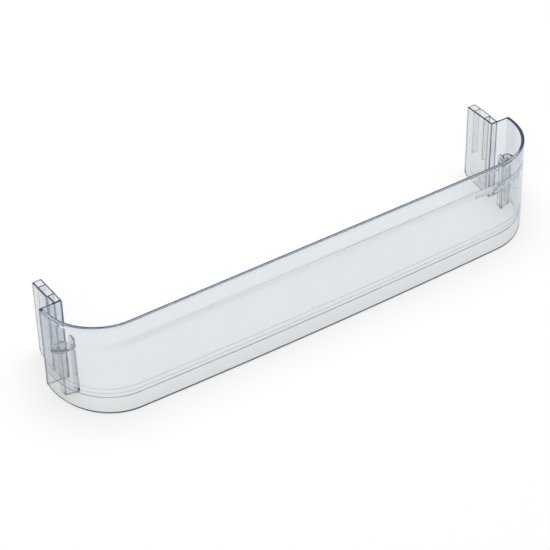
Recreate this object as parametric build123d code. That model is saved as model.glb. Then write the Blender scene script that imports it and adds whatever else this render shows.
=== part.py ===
from build123d import *
import os
from math import cos, radians, tan

# Clear door shelf rail of a fridge, moulded in one piece.
# In plan it is a wide U: a long front panel, two rounded front corners and two short end walls.
# Each end wall turns in at a sharp rear corner, along a short return wall, to a hollow upright post.
# It is drawn hanging, with its rim level and its posts upright, and is then stood on its base edge.
# While it hangs, Y = 0 is the front face of the return walls and Z = 0 is the top of the rim.

# Outline of the rim
length = 470.0
rim_reach = 54.0
end_straight = 2.6

# Outline of the panel below the ledge, which stands further forward than the rim
ledge_reach = 55.6
belly_crown = 2.0
base_reach = 57.4
base_crown = 2.3

# Heights, measured down from the rim
# The inside steps forward a little lower than the outside, and more gently.
rim_band_height = 3.6
rim_taper_height = 1.4
outer_ledge_top = 17.2
outer_ledge_height = 3.2
inner_ledge_top = 19.4
inner_ledge_height = 5.0
belly_drop = 50.0
return_height = 77.5
base_slope = 9.5
trim_allowance = 10.0

# Walls
rim_thickness = 3.0
wall = 2.3
return_wall = 1.6
rim_edge_radius = 0.7

# Fine grooves round the foot of the panel: height above the base edge and depth
grooves = ((16.2, 0.40), (20.2, 0.16), (24.6, 0.16))
groove_width = 0.6

# Upright posts that slide over the door's lugs
post_inset = 20.1
post_width = 8.4
post_depth = 34.0
post_wall = 1.35
post_front_radius = 2.0
post_rear_radius = 2.4
post_foot_radius = 4.5
post_edge_chamfer = 0.4
web_thickness = 1.0
web_depth = 44.5
rear_cell = 6.9
middle_cell = 13.0
front_cell_step = 1.2

# Corner seats inside the two rear corners
seat_drop = 34.2
seat_thickness = 2.2
bead_inset = 9.2
bead_reach = 11.2
bead_outer_radius = 6.0
bead_inner_radius = 3.7
bead_height = 1.8
bead_edge_radius = 0.8
pip_radius = 0.8
pip_height = 0.5
bridge_width = 3.6
channel_inset = 19.4
channel_reach = 18.0
channel_width = 11.8
channel_depth = 6.4
channel_skew = 2.0
channel_wall = 1.5
fin_rise = 8.6
fin_corner_radius = 2.6

half = length / 2
post_inner_face = half - post_inset
post_outer_face = post_inner_face + post_width
deepest = return_height + base_reach * tan(radians(base_slope)) + trim_allowance


def plan(inset, reach, crown, rear, drop):
    """Closed U outline at a depth below the rim. Its front is bowed forward by the crown."""
    end = half - inset
    front = -reach + inset
    bend = -end_straight
    radius = bend - front
    side = end - radius
    turn = radius * (1 - cos(radians(45)))
    crest = front - crown
    if crown:
        face = ThreePointArc((side, front), (0, crest), (-side, front))
    else:
        face = Line((side, front), (-side, front))
    edges = [
        Line((end, rear), (end, bend)),
        ThreePointArc((end, bend), (end - turn, front + turn), (side, front)),
        face,
        ThreePointArc((-side, front), (turn - end, front + turn), (-end, bend)),
        Line((-end, bend), (-end, rear)),
        Line((-end, rear), (end, rear)),
    ]
    return Pos(0, 0, -drop) * make_face(edges)


def tub(inset, rear, ledge_top, ledge_height):
    """Solid inside the rail's outer skin, set in by the inset all round its front and ends."""
    ledge_foot = ledge_top + ledge_height
    rim = plan(inset, rim_reach, 0, rear, 0)
    ledge_up = plan(inset, rim_reach, 0, rear, ledge_top)
    ledge_down = plan(inset, ledge_reach, 0, rear, ledge_foot)
    belly_share = (belly_drop - ledge_foot) / (deepest - ledge_foot)
    belly_reach = ledge_reach + belly_share * (base_reach - ledge_reach)
    belly = plan(inset, belly_reach, belly_crown, rear, belly_drop)
    base = plan(inset, base_reach, base_crown, rear, deepest)
    band = extrude(rim, -ledge_top)
    ledge = loft([ledge_up, ledge_down], ruled=True)
    panel = loft([ledge_down, belly], ruled=True) + loft([belly, base], ruled=True)
    return band + ledge + panel


def shell():
    """Front panel, corners, end walls and return walls, open below and behind."""
    outside = tub(0, return_wall, outer_ledge_top, outer_ledge_height)
    inside = tub(wall, 0, inner_ledge_top, inner_ledge_height)
    rim_foot = rim_band_height + rim_taper_height
    mouth = plan(rim_thickness, rim_reach, 0, 0, 0)
    taper_top = Pos(0, 0, -rim_band_height) * mouth
    taper_foot = plan(wall, rim_reach, 0, 0, rim_foot)
    throat = extrude(mouth, -rim_band_height) + loft([taper_top, taper_foot], ruled=True)
    below = Pos(0, 0, -rim_foot - deepest) * Box(2 * length, 4 * rim_reach, 2 * deepest)
    cavity = inside & below
    opening = Pos(0, 0, -deepest / 2) * Box(2 * post_inner_face, 4 * return_wall, 2 * deepest)
    return outside - throat - cavity - opening


def post():
    """Right-hand post: a flat tube, with two webs that divide its upper end into cells."""
    foot_front = -return_height
    foot_rear = -return_height + post_depth * tan(radians(base_slope))
    side = Polyline((0, 0), (post_depth, 0), (post_depth, foot_rear), (0, foot_front), close=True)
    face = make_face(Plane.YZ * side)
    body = Pos(post_inner_face, 0, 0) * extrude(face, post_width, dir=(1, 0, 0))
    foot_edge = body.edges().filter_by(Axis.X).sort_by(Axis.Y)[-2:].sort_by(Axis.Z)[0]
    body = fillet(foot_edge, post_foot_radius)
    uprights = body.edges().filter_by(Axis.Z).sort_by(Axis.Y)
    body = fillet(uprights[-2:], post_rear_radius)
    body = fillet(uprights[:2].sort_by(Axis.X)[0], post_front_radius)
    body = chamfer(body.faces().sort_by(Axis.Z)[-1].edges(), post_edge_chamfer)

    rear_end = post_depth - post_wall
    middle_end = rear_end - rear_cell - web_thickness
    step_end = middle_end - middle_cell
    front_end = step_end - web_thickness
    cell_low = post_inner_face + post_wall
    cell_high = post_outer_face - post_wall
    step_length = step_end - return_wall
    step = Pos(post_outer_face, return_wall + step_length / 2, 0) * Box(
        2 * front_cell_step, step_length, 4 * deepest)
    body = body - step

    def slot(start, end, high, top, bottom):
        width = high - cell_low
        middle = (cell_low + width / 2, (start + end) / 2, (top + bottom) / 2)
        return Pos(*middle) * Box(width, end - start, top - bottom)

    front_high = cell_high - front_cell_step
    body = body - slot(return_wall, front_end, front_high, 0, -web_depth)
    body = body - slot(step_end, middle_end, cell_high, 0, -web_depth)
    body = body - slot(middle_end + web_thickness, rear_end, cell_high, 0, -web_depth)
    body = body - slot(return_wall, rear_end, front_high, -web_depth, -deepest)
    return body - slot(step_end, rear_end, cell_high, -web_depth, -deepest)


def corner_seat(room):
    """Right-hand corner seat: a beaded plate on a channel that stands on the base, with a fin."""
    seat_plane = Pos(0, 0, -seat_drop)
    centre = (half - bead_inset, -bead_reach)
    disc = Pos(*centre) * Circle(bead_outer_radius)
    hollow = Pos(*centre) * Circle(bead_inner_radius)

    inner = half - channel_inset + channel_wall / 2
    outer = inner + channel_width - channel_wall
    front = -channel_reach + channel_wall / 2
    rear = front + channel_depth
    path = Polyline((inner, rear), (inner, front), (outer, front + channel_skew),
                    (outer, rear + channel_skew))
    section = trace(path, channel_wall)
    channel = seat_plane * extrude(section, -deepest)
    plate = make_hull(disc.edges() + section.edges())
    bridge = trace(Line(centre, (half, -bead_reach)), bridge_width)
    plate = seat_plane * extrude(plate + bridge, -seat_thickness)

    bead = seat_plane * extrude(disc - hollow, bead_height)
    bead = fillet(bead.faces().sort_by(Axis.Z)[-1].edges(), bead_edge_radius)
    pip = seat_plane * extrude(Pos(*centre) * Circle(pip_radius), pip_height)
    fin = Pos(inner, (front + rear) / 2, -seat_drop + fin_rise / 2) * Box(
        channel_wall, rear - front + channel_wall, fin_rise)
    fin = fillet(fin.edges().filter_by(Axis.X).sort_by(Axis.Z)[-2:], fin_corner_radius)
    return (channel + plate + bead + pip + fin) & room


def groove(height, depth):
    """Fine groove in the outer skin, level with the base edge that the rail stands on."""
    ledge = (outer_ledge_top, outer_ledge_height)
    skin = tub(0, return_wall, *ledge) - tub(depth, return_wall, *ledge)
    slab = Pos(0, 0, height) * Box(2 * length, 6 * rim_reach, groove_width)
    return stand(skin) & slab


def stand(shape):
    """Turn a shape from its hanging position to its standing one, with the base edge at Z = 0."""
    return Rot(X=-base_slope) * (Pos(0, 0, return_height) * shape)


rail = shell()
rim_edges = rail.edges().filter_by(lambda e: abs(e.center().Z) < 0.01)
rail = fillet(rim_edges, rim_edge_radius)
right_post = post()
room = tub(wall / 2, return_wall / 2, inner_ledge_top, inner_ledge_height)
right_seat = corner_seat(room)
for piece in (right_post, right_seat):
    rail = rail + piece + mirror(piece, about=Plane.YZ)

rail = stand(rail)
for height, depth in grooves:
    rail = rail - groove(height, depth)
floor = Pos(0, 0, -deepest / 2) * Box(2 * length, 8 * rim_reach, deepest)
rail = rail - floor

box = rail.bounding_box()
rail = Pos(0, -box.center().Y, 0) * rail
rail.label = "door_shelf"

os.makedirs("parts", exist_ok=True)
export_step(rail, "parts/door_shelf.step")
print("solids", len(rail.solids()), "volume", round(rail.volume), "box", rail.bounding_box())
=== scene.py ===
import math

import bpy
from mathutils import Matrix, Vector

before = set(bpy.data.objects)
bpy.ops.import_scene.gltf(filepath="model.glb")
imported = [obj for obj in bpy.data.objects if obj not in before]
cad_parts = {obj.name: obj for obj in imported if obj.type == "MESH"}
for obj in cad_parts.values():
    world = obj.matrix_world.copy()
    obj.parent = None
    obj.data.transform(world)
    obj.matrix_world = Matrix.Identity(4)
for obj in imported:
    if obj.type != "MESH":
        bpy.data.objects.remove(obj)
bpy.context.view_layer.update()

# The rail is one clear moulding of polystyrene, made in a polished steel mould. Its two hollow
# posts hold it on the fridge door. A wall seen face on is almost colourless. Along the inside of
# a wall, as at the rim, the webs and the corners, its blue-grey adds up to navy lines.
rail_index = 1.57
rail_clearness = 0.965
rail_surface_colour = (0.985, 0.98, 0.943, 1.0)
rail_depth_colour = (0.12, 0.29, 0.60, 1.0)
rail_depth_density = 78.0
flow_size = 14.0
flow_detail = 1.0
flow_stretch = (0.25, 0.6, 1.0)
flow_depth = 0.00012
rub_size = 90.0
rub_detail = 3.0
polished_roughness = 0.008
rubbed_roughness = 0.035

rail_material = bpy.data.materials.new("clear_polystyrene")
rail_material.use_nodes = True
nodes = rail_material.node_tree.nodes
links = rail_material.node_tree.links
shader = nodes["Principled BSDF"]
shader.inputs["Base Color"].default_value = rail_surface_colour
shader.inputs["IOR"].default_value = rail_index
shader.inputs["Transmission Weight"].default_value = rail_clearness
on_rail = nodes.new("ShaderNodeTexCoord")

# The melt cooled while it ran along the mould, which left long shallow waves in the walls.
along = nodes.new("ShaderNodeMapping")
along.inputs["Scale"].default_value = flow_stretch
links.new(on_rail.outputs["Object"], along.inputs["Vector"])
flow = nodes.new("ShaderNodeTexNoise")
flow.inputs["Scale"].default_value = flow_size
flow.inputs["Detail"].default_value = flow_detail
links.new(along.outputs["Vector"], flow.inputs["Vector"])
waves = nodes.new("ShaderNodeBump")
waves.inputs["Distance"].default_value = flow_depth
links.new(flow.outputs["Fac"], waves.inputs["Height"])
links.new(waves.outputs["Normal"], shader.inputs["Normal"])

# Wiping has dulled the polish a little, in patches.
rub = nodes.new("ShaderNodeTexNoise")
rub.inputs["Scale"].default_value = rub_size
rub.inputs["Detail"].default_value = rub_detail
links.new(on_rail.outputs["Object"], rub.inputs["Vector"])
dulled = nodes.new("ShaderNodeMapRange")
dulled.inputs["To Min"].default_value = polished_roughness
dulled.inputs["To Max"].default_value = rubbed_roughness
links.new(rub.outputs["Fac"], dulled.inputs["Value"])
links.new(dulled.outputs["Result"], shader.inputs["Roughness"])

# The plastic itself is tinted, so the colour gets deeper with the length of the way through it.
depth = nodes.new("ShaderNodeVolumeAbsorption")
depth.inputs["Color"].default_value = rail_depth_colour
depth.inputs["Density"].default_value = rail_depth_density
links.new(depth.outputs["Volume"], nodes["Material Output"].inputs["Volume"])

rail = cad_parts["door_shelf"]
for slot in rail.material_slots:
    slot.material = rail_material

# The floor is the white paper that the rail stands on in the studio. A glow that only the camera
# sees, straight or by way of the clear walls, makes it as white behind them as beside them.
# The light of the lamps adds the rest, so the rail keeps its soft shadow.
floor_size = 30.0
floor_gap = 0.0008
floor_colour = (0.45, 0.45, 0.45, 1.0)
floor_roughness = 0.9
floor_shine = 0.0
floor_glow = 0.655
floor_glow_colour = (1.0, 0.99, 0.95, 1.0)

bpy.ops.mesh.primitive_plane_add(size=floor_size, location=(0.0, 0.0, -floor_gap))
floor = bpy.context.object
floor.name = "studio_floor"
floor_material = bpy.data.materials.new("studio_paper")
floor_material.use_nodes = True
nodes = floor_material.node_tree.nodes
links = floor_material.node_tree.links
shader = nodes["Principled BSDF"]
shader.inputs["Base Color"].default_value = floor_colour
shader.inputs["Roughness"].default_value = floor_roughness
shader.inputs["Specular IOR Level"].default_value = floor_shine
shader.inputs["Emission Color"].default_value = floor_glow_colour
sight = nodes.new("ShaderNodeLightPath")
by_the_walls = nodes.new("ShaderNodeMath")
by_the_walls.operation = "MAXIMUM"
links.new(sight.outputs["Is Transmission Ray"], by_the_walls.inputs[0])
links.new(sight.outputs["Is Glossy Ray"], by_the_walls.inputs[1])
seen = nodes.new("ShaderNodeMath")
seen.operation = "MAXIMUM"
links.new(sight.outputs["Is Camera Ray"], seen.inputs[0])
links.new(by_the_walls.outputs["Value"], seen.inputs[1])
glow = nodes.new("ShaderNodeMath")
glow.operation = "MULTIPLY"
links.new(seen.outputs["Value"], glow.inputs[0])
glow.inputs[1].default_value = floor_glow
links.new(glow.outputs["Value"], shader.inputs["Emission Strength"])
floor.data.materials.append(floor_material)

# The room has pale walls and a dim bluish ceiling, which draws the dark lines along the edges.
# Its colour follows how steeply upwards one looks, as the sine of that angle.
wall_colour = (0.74, 0.74, 0.74, 1.0)
wall_end = 0.20
ceiling_colour = (0.136, 0.156, 0.20, 1.0)
ceiling_start = 0.40

room = bpy.data.worlds.new("studio_room")
room.use_nodes = True
nodes = room.node_tree.nodes
links = room.node_tree.links
towards = nodes.new("ShaderNodeTexCoord")
upwards = nodes.new("ShaderNodeSeparateXYZ")
links.new(towards.outputs["Generated"], upwards.inputs["Vector"])
shade = nodes.new("ShaderNodeValToRGB")
shade.color_ramp.elements[0].position = wall_end
shade.color_ramp.elements[0].color = wall_colour
shade.color_ramp.elements[1].position = ceiling_start
shade.color_ramp.elements[1].color = ceiling_colour
links.new(upwards.outputs["Z"], shade.inputs["Fac"])
links.new(shade.outputs["Color"], nodes["Background"].inputs["Color"])
bpy.context.scene.world = room

# The lamps are a large soft panel above the rail, a weaker one in front and a faint blue one
# behind, for the top of the rim. They all face the rail, and they don't show through its clear
# walls, where they would glare.


def soft_panel(name, place, width, height, power, colour):
    """A rectangular area lamp that faces the rail."""
    light = bpy.data.lights.new(name, "AREA")
    light.shape = "RECTANGLE"
    light.size = width
    light.size_y = height
    light.energy = power
    light.color = colour
    lamp = bpy.data.objects.new(name, light)
    lamp.location = place
    lamp.rotation_euler = (-Vector(place)).to_track_quat("-Z", "Y").to_euler()
    lamp.visible_transmission = False
    bpy.context.collection.objects.link(lamp)


soft_panel(
    name="top_panel",
    place=(0.2, 0.5, 2.2),
    width=2.0,
    height=1.4,
    power=30.0,
    colour=(1.0, 1.0, 1.0),
)
soft_panel(
    name="front_panel",
    place=(-1.2, -1.2, 1.8),
    width=1.2,
    height=1.2,
    power=10.0,
    colour=(0.9, 0.95, 1.0),
)
soft_panel(
    name="rear_panel",
    place=(1.05, 1.9, 1.3),
    width=1.2,
    height=0.8,
    power=2.1,
    colour=(0.4, 0.56, 1.0),
)

# Light runs a long way inside clear walls before it comes out again at an edge.
# Each ray is therefore followed through many turns.
wall_turns = 32

bpy.context.scene.cycles.max_bounces = wall_turns
bpy.context.scene.cycles.transmission_bounces = wall_turns
bpy.context.scene.cycles.glossy_bounces = wall_turns

# The camera stands in front of the rail's left end and looks down at it through a long lens.
# Its place, roll and lens were fitted to the outline of the rim, the posts and the base edge.
camera_aim = Vector((-0.0292, -0.0090, 0.0366))
camera_distance = 1.676
camera_azimuth = math.radians(-38.04)
camera_elevation = math.radians(45.61)
camera_roll = math.radians(6.16)
camera_lens = 132.15
camera_sensor = 36.0

back = Vector((
    math.sin(camera_azimuth) * math.cos(camera_elevation),
    -math.cos(camera_azimuth) * math.cos(camera_elevation),
    math.sin(camera_elevation),
))
level_right = Vector((math.cos(camera_azimuth), math.sin(camera_azimuth), 0.0))
level_up = back.cross(level_right)
right = level_right * math.cos(camera_roll) + level_up * math.sin(camera_roll)
up = back.cross(right)
camera_data = bpy.data.cameras.new("photo_camera")
camera_data.lens = camera_lens
camera_data.sensor_width = camera_sensor
camera = bpy.data.objects.new("photo_camera", camera_data)
camera.matrix_world = Matrix((right, up, back)).transposed().to_4x4()
camera.matrix_world.translation = camera_aim + back * camera_distance
bpy.context.collection.objects.link(camera)
bpy.context.scene.camera = camera
bpy.context.scene.view_settings.view_transform = "Standard"
